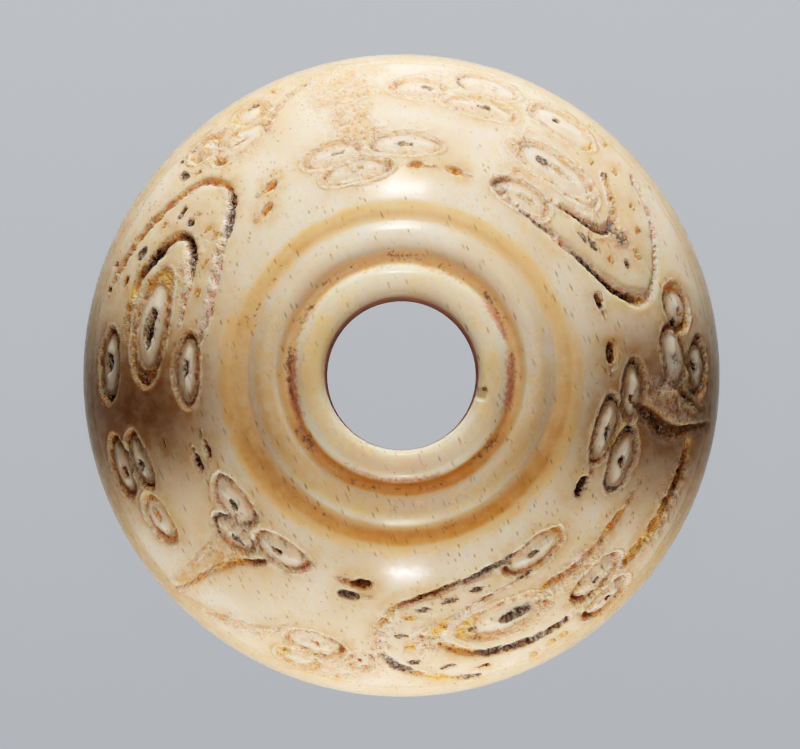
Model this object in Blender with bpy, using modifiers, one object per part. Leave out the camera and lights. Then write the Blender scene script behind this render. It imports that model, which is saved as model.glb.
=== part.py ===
"""Bone spindle whorl: one turned and carved piece of bone, pierced for a spindle.

A flat underside, a domed body with a raised collar round the bore, two turned
grooves with a ridge between them, and a carved band with three leaf medallions,
three trefoils, two of them on a stem, and smaller trefoils near the rim.

Metres, +Z up.  The origin is the centre of the flat underside, on the bore's axis.
"""

import math

import bmesh
import bpy
import numpy as np

MM = 0.001

# Driving sizes, in millimetres.
OUTER_RADIUS = 14.0
TOTAL_HEIGHT = 9.2
BORE_RADIUS = 3.31
BORE_TOP = 9.02  # where the bore meets the collar's rounded lip
RIM_HEIGHT = 1.9  # height of the widest line, where the dome starts
DOME_RISE = 7.75  # rise of the dome's ellipse above that line, at the axis
DOME_TOP_RADIUS = 7.2  # where the dome ends and the turned rings start
UNDER_RADIUS = 13.3  # flat part of the underside
BORE_CHAMFER = 0.2
SPREAD_START = 10.5  # from this radius outwards the body widens into a slight oval
SPREAD_ALONG_X = 0.005  # share by which the rim stands out along each axis
SPREAD_ALONG_Y = 0.0145

# The turned rings from the dome inwards: radius, height.
RINGS = (
    (7.05, 8.545),  # shallow outer groove
    (6.92, 8.545),
    (6.80, 8.56),
    (6.70, 8.57),
    (6.60, 8.60),
    (6.50, 8.645),  # ridge
    (6.40, 8.69),
    (6.25, 8.75),
    (6.10, 8.80),
    (5.95, 8.835),
    (5.75, 8.855),
    (5.55, 8.85),
    (5.40, 8.82),
    (5.25, 8.765),
    (5.12, 8.71),  # inner groove
    (5.00, 8.69),
    (4.90, 8.71),
    (4.80, 8.77),
    (4.70, 8.86),  # collar
    (4.62, 8.945),
    (4.54, 9.01),
    (4.46, 9.06),
    (4.36, 9.10),
    (4.20, 9.145),
    (3.95, 9.185),
    (3.75, TOTAL_HEIGHT),
    (3.58, 9.19),
    (3.45, 9.16),
    (3.37, 9.10),
)

# Resolution: fine enough to carry the carving, then reduced for use.
TURN_STEPS = 720
DOME_STEP = 0.11
TRIANGLES = 9400

BONE = (0.80, 0.70, 0.52, 1.0)

# The carving.  A place on the dome is an azimuth in degrees and the distance in
# millimetres down the dome from its top edge.  A length runs round the dome, a
# width runs down it, and a tilt in degrees lowers the clockwise end.

# Ringed buds: azimuth, down, length, width, tilt, pit azimuth, pit down, pit length, pit width.
BUDS = (
    # the three trefoils near the top of the band
    (344.8, 2.20, 3.20, 1.15, 0, 344.3, 2.30, 0.87, 0.30),
    (355.9, 3.22, 2.93, 1.20, -3, 353.8, 3.18, 0.50, 0.30),
    (338.9, 3.42, 3.10, 1.30, 4, 338.4, 3.45, 0.62, 0.32),
    (235.8, 2.30, 2.87, 1.30, 3, 234.8, 2.35, 0.72, 0.28),
    (217.1, 2.10, 2.83, 1.34, 0, 218.0, 2.22, 0.70, 0.33),
    (223.4, 3.15, 2.45, 1.15, 3, 225.4, 3.20, 0.80, 0.30),
    (102.5, 2.00, 3.24, 1.15, 0, 102.6, 2.10, 0.95, 0.35),
    (107.5, 3.07, 2.72, 1.15, 0, 106.0, 3.10, 0.80, 0.30),
    (88.9, 3.10, 3.25, 1.15, 0, 89.3, 3.10, 1.00, 0.33),
    # the medallions' inner eyes
    (306.4, 2.70, 3.20, 1.27, 0, 306.4, 2.68, 0.70, 0.38),
    (179.1, 2.33, 3.28, 1.25, 0, 178.6, 2.37, 0.98, 0.35),
    (55.7, 2.27, 2.95, 1.30, 3, 54.5, 2.30, 0.95, 0.35),
    # the medallions' outer eyes
    (313.7, 5.92, 2.95, 1.30, 2, 313.6, 6.00, 0.65, 0.38),
    (312.6, 7.40, 2.75, 1.30, 0, 312.8, 7.45, 0.50, 0.40),
    (178.2, 6.70, 3.30, 1.50, 0, 177.8, 6.72, 1.00, 0.62),
    (57.1, 6.85, 3.40, 1.60, 0, 58.6, 6.90, 0.50, 0.40),
    # the trefoils that fill the space beside the medallions' outer eyes
    (210.7, 5.95, 2.45, 1.25, 0, 209.8, 5.95, 0.75, 0.36),
    (198.2, 5.60, 2.75, 1.10, 4, 199.2, 5.62, 0.70, 0.38),
    (198.2, 6.85, 2.90, 1.35, 0, 199.3, 6.75, 0.70, 0.45),
    (86.4, 6.15, 2.60, 1.25, 0, 84.9, 6.27, 0.75, 0.40),
    (73.6, 5.70, 3.40, 1.15, 4, 72.9, 5.72, 0.80, 0.40),
    (73.4, 7.15, 3.00, 1.45, 0, 73.4, 7.15, 0.85, 0.50),
    (13.6, 6.05, 2.20, 1.45, 0, 12.6, 6.15, 0.55, 0.40),
    (4.2, 5.50, 2.85, 1.55, 6, 3.2, 5.55, 0.55, 0.30),
    (1.4, 7.00, 2.50, 1.40, 0, 1.8, 6.75, 0.75, 0.40),
    # the trefoils at the medallions' tips
    (252.2, 5.98, 2.75, 1.35, 4, 252.3, 5.90, 0.45, 0.30),
    (262.0, 6.35, 1.35, 1.15, 0, 261.8, 6.35, 0.40, 0.30),
    (250.0, 7.25, 2.20, 1.15, 0, 252.5, 7.45, 0.50, 0.40),
    (124.8, 5.98, 3.00, 1.35, 3, 124.6, 6.00, 0.95, 0.38),
    (130.8, 7.05, 1.80, 1.20, 0, 131.0, 7.00, 0.45, 0.40),
    (119.8, 7.25, 1.70, 1.45, 0, 118.8, 7.65, 0.75, 0.60),
)

# The medallions' lens-shaped hearts: the same fields as a bud.
HEARTS = (
    (292.8, 4.90, 4.50, 1.75, -1, 295.4, 4.95, 1.85, 0.85),
    (169.3, 4.45, 5.30, 1.90, 0, 169.8, 4.45, 2.00, 0.73),
    (53.0, 4.45, 4.90, 1.65, 1, 52.6, 4.52, 1.60, 0.50),
)

# Tear-shaped pits: azimuth, down, length, width, tilt, side of the tail (1 clockwise).
TEARS = (
    (20.3, 2.07, 0.85, 0.45, 0, 1),
    (5.8, 2.10, 1.15, 0.58, -4, 1),
    (327.9, 2.15, 1.25, 0.60, 3, -1),
    (259.0, 2.20, 1.20, 0.60, 6, 1),
    (256.5, 2.87, 1.20, 0.58, 3, -1),
    (201.3, 1.95, 0.95, 0.36, -4, 1),
    (203.7, 2.63, 0.95, 0.48, 3, 1),
    (129.5, 2.15, 0.85, 0.50, 8, -1),
    (124.7, 2.97, 0.85, 0.42, 8, -1),
    (85.8, 2.02, 0.95, 0.40, 0, 1),
    (75.7, 2.05, 0.90, 0.42, 0, 1),
)

# Grooves along a curve: each point is azimuth, down, width, depth.
GROOVES = (
    # outlines of the three medallions, from the inner eye round the tip to the rim
    (
        (301, 2.12, 0.30, 0.25), (290, 2.25, 0.35, 0.30), (281, 2.45, 0.35, 0.30),
        (272, 2.85, 0.35, 0.28), (267, 3.45, 0.45, 0.28), (265, 4.40, 0.50, 0.22),
        (265.4, 5.50, 0.50, 0.20), (269, 6.55, 0.50, 0.32), (276, 7.35, 0.45, 0.30),
        (284, 8.00, 0.40, 0.25),
    ),
    (
        (171.5, 1.80, 0.30, 0.25), (163, 1.62, 0.40, 0.22), (154, 1.88, 0.50, 0.22),
        (145, 2.38, 0.55, 0.22), (138, 2.95, 0.50, 0.30), (133.6, 3.75, 0.45, 0.38),
        (132.8, 4.60, 0.40, 0.38), (135.6, 5.52, 0.38, 0.34), (142, 6.10, 0.35, 0.28),
        (150, 6.72, 0.38, 0.26), (161, 7.35, 0.45, 0.22),
    ),
    (
        (60, 1.72, 0.30, 0.25), (50, 1.62, 0.30, 0.25), (40, 1.82, 0.35, 0.28),
        (31, 2.20, 0.38, 0.36), (24, 2.65, 0.45, 0.45), (19, 3.30, 0.50, 0.50),
        (17.2, 4.05, 0.55, 0.48), (19.0, 4.85, 0.50, 0.34), (24.6, 5.77, 0.55, 0.28),
        (32.6, 6.70, 0.55, 0.24), (40.6, 7.40, 0.50, 0.18),
    ),
    # grooves round the medallions' inner leaves
    (
        (303, 3.30, 0.15, 0.10), (293, 3.42, 0.18, 0.12), (285, 3.75, 0.30, 0.15),
        (278.6, 4.35, 0.60, 0.22), (276.9, 5.05, 0.70, 0.25), (281.5, 5.95, 0.45, 0.38),
        (288, 6.55, 0.45, 0.38), (296, 6.80, 0.42, 0.35), (304, 6.78, 0.40, 0.30),
    ),
    (
        (167, 2.85, 0.20, 0.10), (157, 3.02, 0.35, 0.15), (150.5, 3.45, 0.45, 0.30),
        (147.2, 4.25, 0.42, 0.38), (149.2, 4.95, 0.45, 0.35), (155.5, 5.45, 0.42, 0.35),
        (161.5, 5.85, 0.38, 0.25), (172, 5.80, 0.30, 0.12),
    ),
    (
        (50, 2.85, 0.25, 0.12), (42, 3.27, 0.30, 0.30), (36.2, 3.62, 0.35, 0.38),
        (34.5, 4.25, 0.38, 0.38), (37.6, 5.10, 0.40, 0.18), (44.5, 5.90, 0.30, 0.12),
    ),
    # stalks of the medallion that reaches its neighbour's stem
    (
        (336, 4.70, 0.15, 0.05), (325, 4.52, 0.40, 0.16), (314, 4.58, 0.50, 0.22),
        (303, 4.42, 0.45, 0.20),
    ),
    (
        (346.5, 6.90, 0.80, 0.30), (339, 6.85, 0.80, 0.26), (330, 6.68, 0.80, 0.24),
        (320.5, 6.50, 0.70, 0.22),
    ),
    # sides of two of the stems; the third is worn away
    (
        (352.5, 3.60, 0.50, 0.40), (350.2, 4.60, 0.85, 0.50), (348.6, 5.60, 0.85, 0.48),
        (349.4, 6.60, 0.60, 0.36), (351, 8.00, 0.35, 0.22),
    ),
    (
        (358.2, 3.95, 0.40, 0.12), (357.2, 4.70, 0.60, 0.16), (357.6, 5.50, 0.75, 0.35),
        (355.2, 6.40, 0.45, 0.28), (353.2, 7.30, 0.35, 0.20),
    ),
    (
        (233.6, 3.20, 0.30, 0.40), (229.6, 3.85, 0.35, 0.32), (227.4, 4.50, 0.32, 0.36),
        (225.6, 5.80, 0.30, 0.34), (225, 6.90, 0.30, 0.26), (223.8, 8.00, 0.35, 0.18),
    ),
    (
        (219.8, 3.80, 0.50, 0.06), (222.2, 4.80, 0.45, 0.08), (221.9, 6.60, 0.45, 0.05),
    ),
    # slanting cuts from two of the tip trefoils down to the rim
    (
        (246, 5.50, 0.60, 0.06), (241.5, 6.45, 0.90, 0.08), (233, 7.35, 0.90, 0.07),
        (225, 8.00, 0.60, 0.05),
    ),
    (
        (118.5, 5.60, 0.40, 0.15), (114.5, 6.70, 0.50, 0.14), (106, 7.70, 0.40, 0.10),
    ),
)

RIM_LINE = (8.08, 0.16, 0.06)  # down, width, depth of the line cut above the plain rim
# Share of its depth that the worn carving keeps, every 30 degrees of azimuth from 0.
WEAR = (1.2, 0.95, 0.50, 0.36, 0.50, 1.0, 1.2, 0.90, 0.60, 0.60, 0.75, 1.1)

# How each cut is shaped, in millimetres.
BUD_DEPTH = 0.28
BUD_WALL = 0.16
BUD_END_GAP = 0.42  # width of the ring groove at a bud's ends
BUD_SIDE_GAP = 0.24  # and along its sides
BUD_PILLOW = 0.14
RING_SPREAD = 0.10  # how far a ring groove reaches past the oval's stated size
PIT_DEPTH = 0.28
HEART_DEPTH = 0.16
HEART_END_GAP = 0.85
HEART_SIDE_GAP = 0.30
HEART_PIT_DEPTH = 0.36
TEAR_DEPTH = 0.34
GROOVE_SHARE = 0.70  # of the depth given for each point of a groove
CURVE_STEPS = 8  # straight pieces between two points of a groove


def clear_scene():
    for obj in list(bpy.data.objects):
        bpy.data.objects.remove(obj, do_unlink=True)


def smooth(x):
    """0 at and below 0, 1 at and above 1, smooth between."""
    x = np.clip(x, 0.0, 1.0)
    return x * x * (3.0 - 2.0 * x)


def dome_table():
    """Distance down the dome, with the radius and the height there."""
    turn = np.linspace(0.0, math.pi / 2, 1001)
    radius = OUTER_RADIUS * np.sin(turn)
    height = RIM_HEIGHT + DOME_RISE * np.cos(turn)
    run = np.concatenate([[0.0], np.cumsum(np.hypot(np.diff(radius), np.diff(height)))])
    down = run - np.interp(DOME_TOP_RADIUS, radius, run)
    keep = down >= -0.01
    return down[keep], radius[keep], height[keep]


DOWN, DOWN_RADIUS, DOWN_HEIGHT = dome_table()


def profile():
    """The closed outline, from the bore's top over the dome to the underside and up the bore."""
    points = [(BORE_RADIUS, BORE_TOP)]
    points += reversed(RINGS)
    steps = int(round(DOWN[-1] / DOME_STEP))
    for down in np.linspace(0.0, DOWN[-1], steps + 1):
        points.append((np.interp(down, DOWN, DOWN_RADIUS), np.interp(down, DOWN, DOWN_HEIGHT)))
    rise = RIM_HEIGHT
    for turn in np.linspace(15.0, 90.0, 6):
        angle = math.radians(turn)
        inward = OUTER_RADIUS - UNDER_RADIUS
        points.append((UNDER_RADIUS + inward * math.cos(angle), rise - rise * math.sin(angle)))
    points.append((BORE_RADIUS + BORE_CHAMFER, 0.0))
    points.append((BORE_RADIUS, BORE_CHAMFER))
    return points


def turned_body(name, points):
    """The profile, turned round the Z axis by a Screw modifier and made a mesh."""
    mesh = bpy.data.meshes.new(name + "_profile")
    shape = bmesh.new()
    corners = [shape.verts.new((r * MM, 0.0, z * MM)) for r, z in points]
    for first, second in zip(corners, corners[1:] + corners[:1]):
        shape.edges.new((first, second))
    shape.to_mesh(mesh)
    shape.free()
    guide = bpy.data.objects.new(name + "_profile", mesh)
    bpy.context.scene.collection.objects.link(guide)
    screw = guide.modifiers.new("turn", "SCREW")
    screw.axis = "Z"
    screw.steps = TURN_STEPS
    screw.render_steps = TURN_STEPS
    screw.use_merge_vertices = True
    screw.merge_threshold = 1e-6
    graph = bpy.context.evaluated_depsgraph_get()
    turned = bpy.data.meshes.new_from_object(guide.evaluated_get(graph))
    turned.name = name
    bpy.data.objects.remove(guide, do_unlink=True)
    return turned


def offsets(azimuth, down, radius, centre, centre_down):
    """How far each place lies clockwise of a centre and below it, in millimetres."""
    turn = (centre - azimuth + 180.0) % 360.0 - 180.0
    return np.radians(turn) * radius, down - centre_down


def ellipse(across, below, length, width, tilt):
    """Signed distance from an ellipse, negative inside."""
    angle = math.radians(tilt)
    x = across * math.cos(angle) + below * math.sin(angle)
    y = below * math.cos(angle) - across * math.sin(angle)
    a, b = length / 2, width / 2
    reach = np.hypot(x / a, y / b)
    slope = np.hypot(x / a**2, y / b**2) + 1e-9
    return (reach - 1.0) * reach / slope


def ringed(place, field, depth, end_gap, side_gap, pit_depth):
    """A raised oval inside a ring groove, with a pit near its middle."""
    azimuth, down, radius = place
    centre, centre_down, length, width, tilt, pit, pit_down, pit_length, pit_width = field
    x, y = offsets(azimuth, down, radius, centre, centre_down)
    outside = ellipse(x, y, length + 2 * RING_SPREAD, width + 2 * RING_SPREAD, tilt)
    inside = ellipse(x, y, length - 2 * end_gap, width - 2 * side_gap, tilt)
    cut = depth * smooth(-outside / BUD_WALL) * smooth(inside / BUD_WALL)
    pillow = BUD_PILLOW * smooth(-outside / BUD_WALL) * smooth(1.0 + inside / (width / 2))
    x, y = offsets(azimuth, down, radius, pit, pit_down)
    hollow = pit_depth * smooth(-ellipse(x, y, pit_length, pit_width, tilt) / (pit_width / 2.5))
    return np.maximum(np.maximum(cut, pillow), hollow)


def tear(place, field):
    """A deep pit that runs out on one side in a shallow tail."""
    azimuth, down, radius = place
    centre, centre_down, length, width, tilt, side = field
    x, y = offsets(azimuth, down, radius, centre, centre_down)
    pit = TEAR_DEPTH * smooth(-ellipse(x, y, length, width, tilt) / (width / 2.6))
    tail = ellipse(x - side * length * 0.55, y, length, width * 0.8, tilt)
    return np.maximum(pit, 0.3 * TEAR_DEPTH * smooth(-tail / (width / 2)))


def through(points):
    """The points of a smooth curve through the given ones (Catmull-Rom)."""
    keys = np.array(points, float)
    keys = np.vstack([2 * keys[0] - keys[1], keys, 2 * keys[-1] - keys[-2]])
    found = []
    for a, b, c, d in zip(keys, keys[1:], keys[2:], keys[3:]):
        for t in np.arange(CURVE_STEPS) / CURVE_STEPS:
            found.append(
                0.5 * (2 * b + (c - a) * t + (2 * a - 5 * b + 4 * c - d) * t**2
                       + (3 * b - a - 3 * c + d) * t**3)
            )
    found.append(keys[-2])
    return np.array(found)


def groove(place, points):
    """A round-bottomed groove along a curve, with its width and depth changing on the way."""
    azimuth, down, radius = place
    cut = np.zeros_like(down)
    curve = through(points)
    for start, end in zip(curve, curve[1:]):
        middle_radius = np.interp((start[1] + end[1]) / 2, DOWN, DOWN_RADIUS)
        x, y = offsets(azimuth, down, middle_radius, start[0], start[1])
        along = np.array([math.radians(start[0] - end[0]) * middle_radius, end[1] - start[1]])
        share = np.clip((x * along[0] + y * along[1]) / (along @ along), 0.0, 1.0)
        away = np.hypot(x - share * along[0], y - share * along[1])
        half = (start[2] + share * (end[2] - start[2])) / 2
        depth = GROOVE_SHARE * (start[3] + share * (end[3] - start[3]))
        cut = np.maximum(cut, depth * smooth(1.25 * (1.0 - away / half)))
    return cut


def carving(azimuth, down, radius):
    """Depth of the carving at each place on the dome, in millimetres."""
    place = (azimuth, down, radius)
    cuts = [ringed(place, field, BUD_DEPTH, BUD_END_GAP, BUD_SIDE_GAP, PIT_DEPTH)
            for field in BUDS]
    cuts += [ringed(place, field, HEART_DEPTH, HEART_END_GAP, HEART_SIDE_GAP, HEART_PIT_DEPTH)
             for field in HEARTS]
    cuts += [tear(place, field) for field in TEARS]
    cuts += [groove(place, points) for points in GROOVES]
    kept = np.interp(azimuth % 360.0, np.linspace(0.0, 360.0, len(WEAR) + 1), WEAR + WEAR[:1])
    line, width, depth = RIM_LINE
    rim_line = depth * smooth(1.0 - np.abs(down - line) / (width / 2))
    return np.maximum(kept * np.maximum.reduce(cuts), rim_line)


def carve(mesh):
    """Moves the dome's vertices inwards, square to the dome, by the depth of the carving."""
    points = np.empty(len(mesh.vertices) * 3)
    mesh.vertices.foreach_get("co", points)
    points = points.reshape(-1, 3) / MM
    radius = np.hypot(points[:, 0], points[:, 1])
    height = points[:, 2]
    dome = (radius > DOME_TOP_RADIUS + 0.01) & (height > RIM_HEIGHT + 0.01)
    x, y, z = points[dome].T
    radius, rise = radius[dome], height[dome] - RIM_HEIGHT
    down = np.interp(-height[dome], -DOWN_HEIGHT, DOWN)
    depth = carving(np.degrees(np.arctan2(y, x)), down, radius)
    outward = radius / OUTER_RADIUS**2
    upward = rise / DOME_RISE**2
    size = np.hypot(outward, upward)
    shrink = 1.0 - depth * outward / size / radius
    points[dome] = np.column_stack([x * shrink, y * shrink, z - depth * upward / size])
    mesh.vertices.foreach_set("co", (points * MM).reshape(-1))
    mesh.update()


def widen(mesh):
    """Moves the outer part outwards, more along Y than along X, so that the rim is a slight oval."""
    points = np.empty(len(mesh.vertices) * 3)
    mesh.vertices.foreach_get("co", points)
    points = points.reshape(-1, 3)
    radius = np.hypot(points[:, 0], points[:, 1])
    across = (points[:, 1] / radius) ** 2
    share = SPREAD_ALONG_X + (SPREAD_ALONG_Y - SPREAD_ALONG_X) * across
    reach = smooth((radius / MM - SPREAD_START) / (OUTER_RADIUS - SPREAD_START))
    points[:, :2] *= (1.0 + share * reach)[:, None]
    mesh.vertices.foreach_set("co", points.reshape(-1))
    mesh.update()


def reduce_to(obj, triangles):
    """Collapses edges where the surface is plain until the given number is left."""
    obj.data.calc_loop_triangles()
    decimate = obj.modifiers.new("reduce", "DECIMATE")
    decimate.decimate_type = "COLLAPSE"
    decimate.ratio = triangles / len(obj.data.loop_triangles)
    decimate.use_collapse_triangulate = True


def bone_material():
    material = bpy.data.materials.new("bone")
    material.use_nodes = True
    shader = material.node_tree.nodes["Principled BSDF"]
    shader.inputs["Base Color"].default_value = BONE
    shader.inputs["Roughness"].default_value = 0.38
    shader.inputs["Metallic"].default_value = 0.0
    material.diffuse_color = BONE
    return material


def build():
    clear_scene()
    collection = bpy.data.collections.new("bone_spindle_whorl")
    bpy.context.scene.collection.children.link(collection)
    mesh = turned_body("whorl", profile())
    carve(mesh)
    widen(mesh)
    whorl = bpy.data.objects.new("whorl", mesh)
    collection.objects.link(whorl)
    mesh.materials.append(bone_material())
    mesh.shade_smooth()
    mesh.set_sharp_from_angle(angle=math.radians(40.0))
    reduce_to(whorl, TRIANGLES)


build()
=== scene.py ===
import math

import bpy
import numpy as np
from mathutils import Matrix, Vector


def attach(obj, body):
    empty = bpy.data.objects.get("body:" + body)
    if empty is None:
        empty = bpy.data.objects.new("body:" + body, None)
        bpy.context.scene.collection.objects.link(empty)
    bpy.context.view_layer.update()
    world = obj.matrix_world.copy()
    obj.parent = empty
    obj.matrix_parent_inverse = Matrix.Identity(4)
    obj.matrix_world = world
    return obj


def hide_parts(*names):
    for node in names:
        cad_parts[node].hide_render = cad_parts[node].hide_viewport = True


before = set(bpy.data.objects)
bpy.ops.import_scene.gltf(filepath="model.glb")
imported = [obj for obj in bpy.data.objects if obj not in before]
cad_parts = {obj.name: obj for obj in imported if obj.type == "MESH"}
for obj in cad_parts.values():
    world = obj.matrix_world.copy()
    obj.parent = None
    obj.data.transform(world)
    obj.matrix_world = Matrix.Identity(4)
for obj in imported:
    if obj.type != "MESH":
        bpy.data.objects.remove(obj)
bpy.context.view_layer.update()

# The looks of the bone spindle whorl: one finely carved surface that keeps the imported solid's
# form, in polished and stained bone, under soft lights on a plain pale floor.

MM = 0.001

# ---- sizes, in millimetres
OUTER_RADIUS = 14.0
TOTAL_HEIGHT = 9.2
BORE_RADIUS = 3.31
BORE_TOP = 9.02
RIM_HEIGHT = 1.9
DOME_RISE = 7.75
DOME_TOP_RADIUS = 7.2
UNDER_RADIUS = 13.3
BORE_CHAMFER = 0.2
ROLL_START = 15.0  # degrees round the rim's rolled edge
# The rim is slightly oval: it grows by these shares from this radius outwards.
SPREAD_START = 10.5
SPREAD_ALONG_X = 0.005
SPREAD_ALONG_Y = 0.0145

# Radius and height of the turned rings, from the dome's top edge in to the spindle hole.
RINGS = (
    (7.05, 8.545),
    (6.92, 8.545),
    (6.80, 8.56),
    (6.70, 8.57),
    (6.60, 8.60),
    (6.50, 8.645),
    (6.40, 8.69),
    (6.25, 8.75),
    (6.10, 8.80),
    (5.95, 8.835),
    (5.75, 8.855),
    (5.55, 8.85),
    (5.40, 8.82),
    (5.25, 8.765),
    (5.12, 8.71),
    (5.00, 8.69),
    (4.90, 8.71),
    (4.80, 8.77),
    (4.70, 8.86),
    (4.62, 8.945),
    (4.54, 9.01),
    (4.46, 9.06),
    (4.36, 9.10),
    (4.20, 9.145),
    (3.95, 9.185),
    (3.75, TOTAL_HEIGHT),
    (3.58, 9.19),
    (3.45, 9.16),
    (3.37, 9.10),
)
EDGE_ROLL = 0.35
EDGE_DROP = 0.03
# The bore's wall is within this radius; the lip, rings and upper side are above these heights.
BORE_WALL_REACH = 3.34
LIP_HEIGHT = 8.9
RINGS_HEIGHT = 8.0
UPPER_HEIGHT = 4.0

# ---- the carving
# A place on the dome is an azimuth in degrees and the distance down the dome in millimetres.
# A dirt letter stands for three shares: rust, grime, grain.
DIRT = {
    "C": (0.10, 0.00, 0.0),
    "P": (0.30, 0.30, 0.1),
    "A": (0.80, 0.30, 0.0),
    "B": (0.80, 0.68, 0.1),
    "K": (0.60, 1.00, 0.2),
    "G": (0.15, 0.34, 1.0),
    "M": (0.35, 0.30, 0.45),
    "O": (0.52, 0.14, 0.0),
}

# azimuth, down, length, width, tilt, then the pit's azimuth, down, length and width,
# then the dirt at the ring's far end, at its near end and in the pit.
BUDS = (
    (344.8, 2.20, 3.20, 1.15, 0, 344.3, 2.30, 0.87, 0.30, "KBG"),
    (355.9, 3.22, 2.93, 1.20, -3, 353.8, 3.18, 0.50, 0.30, "KPB"),
    (338.9, 3.42, 3.10, 1.30, 4, 338.4, 3.45, 0.62, 0.32, "KGK"),
    (235.8, 2.30, 2.87, 1.30, 3, 234.8, 2.35, 0.72, 0.28, "MMB"),
    (217.1, 2.10, 2.83, 1.34, 0, 218.0, 2.22, 0.70, 0.33, "MMG"),
    (223.4, 3.15, 2.45, 1.15, 3, 225.4, 3.20, 0.80, 0.30, "MGG"),
    (102.5, 2.00, 3.24, 1.15, 0, 102.6, 2.10, 0.95, 0.35, "MMA"),
    (107.5, 3.07, 2.72, 1.15, 0, 106.0, 3.10, 0.80, 0.30, "MMG"),
    (88.9, 3.10, 3.25, 1.15, 0, 89.3, 3.10, 1.00, 0.33, "GMG"),
    (306.4, 2.70, 3.20, 1.27, 0, 306.4, 2.68, 0.70, 0.38, "ABG"),
    (179.1, 2.33, 3.28, 1.25, 0, 178.6, 2.37, 0.98, 0.35, "BBK"),
    (55.7, 2.27, 2.95, 1.30, 3, 54.5, 2.30, 0.95, 0.35, "GPP"),
    (313.7, 5.92, 2.95, 1.30, 2, 313.6, 6.00, 0.65, 0.38, "PBB"),
    (312.6, 7.40, 2.75, 1.30, 0, 312.8, 7.45, 0.50, 0.40, "PBB"),
    (178.2, 6.70, 3.30, 1.50, 0, 177.8, 6.72, 1.00, 0.62, "KBK"),
    (57.1, 6.85, 3.40, 1.60, 0, 58.6, 6.90, 0.50, 0.40, "PAG"),
    (210.7, 5.95, 2.45, 1.25, 0, 209.8, 5.95, 0.75, 0.36, "AAA"),
    (198.2, 5.60, 2.75, 1.10, 4, 199.2, 5.62, 0.70, 0.38, "BBK"),
    (198.2, 6.85, 2.90, 1.35, 0, 199.3, 6.75, 0.70, 0.45, "BBB"),
    (86.4, 6.15, 2.60, 1.25, 0, 84.9, 6.27, 0.75, 0.40, "MMG"),
    (73.6, 5.70, 3.40, 1.15, 4, 72.9, 5.72, 0.80, 0.40, "MBG"),
    (73.4, 7.15, 3.00, 1.45, 0, 73.4, 7.15, 0.85, 0.50, "GMP"),
    (13.6, 6.05, 2.20, 1.45, 0, 12.6, 6.15, 0.55, 0.40, "ABA"),
    (4.2, 5.50, 2.85, 1.55, 6, 3.2, 5.55, 0.55, 0.30, "BPP"),
    (1.4, 7.00, 2.50, 1.40, 0, 1.8, 6.75, 0.75, 0.40, "BKK"),
    (252.2, 5.98, 2.75, 1.35, 4, 252.3, 5.90, 0.45, 0.30, "BPA"),
    (262.0, 6.35, 1.35, 1.15, 0, 261.8, 6.35, 0.40, 0.30, "PPB"),
    (250.0, 7.25, 2.20, 1.15, 0, 252.5, 7.45, 0.50, 0.40, "AAA"),
    (124.8, 5.98, 3.00, 1.35, 3, 124.6, 6.00, 0.95, 0.38, "BPB"),
    (130.8, 7.05, 1.80, 1.20, 0, 131.0, 7.00, 0.45, 0.40, "AAA"),
    (119.8, 7.25, 1.70, 1.45, 0, 118.8, 7.65, 0.75, 0.60, "AAG"),
)

HEARTS = (
    (292.8, 4.90, 4.50, 1.75, -1, 295.4, 4.95, 1.85, 0.85, "CAG"),
    (169.3, 4.45, 5.30, 1.90, 0, 169.8, 4.45, 2.00, 0.73, "BAK"),
    (53.0, 4.45, 4.90, 1.65, 1, 52.6, 4.52, 1.60, 0.50, "CCC"),
)

# azimuth, down, length, width, tilt, the side of the tail, dirt
TEARS = (
    (20.3, 2.07, 0.85, 0.45, 0, 1, "K"),
    (5.8, 2.10, 1.15, 0.58, -4, 1, "B"),
    (327.9, 2.15, 1.25, 0.60, 3, -1, "K"),
    (259.0, 2.20, 1.20, 0.60, 6, 1, "B"),
    (256.5, 2.87, 1.20, 0.58, 3, -1, "G"),
    (201.3, 1.95, 0.95, 0.36, -4, 1, "B"),
    (203.7, 2.63, 0.95, 0.48, 3, 1, "K"),
    (129.5, 2.15, 0.85, 0.50, 8, -1, "A"),
    (124.7, 2.97, 0.85, 0.42, 8, -1, "A"),
    (85.8, 2.02, 0.95, 0.40, 0, 1, "A"),
    (75.7, 2.05, 0.90, 0.42, 0, 1, "A"),
)

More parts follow.
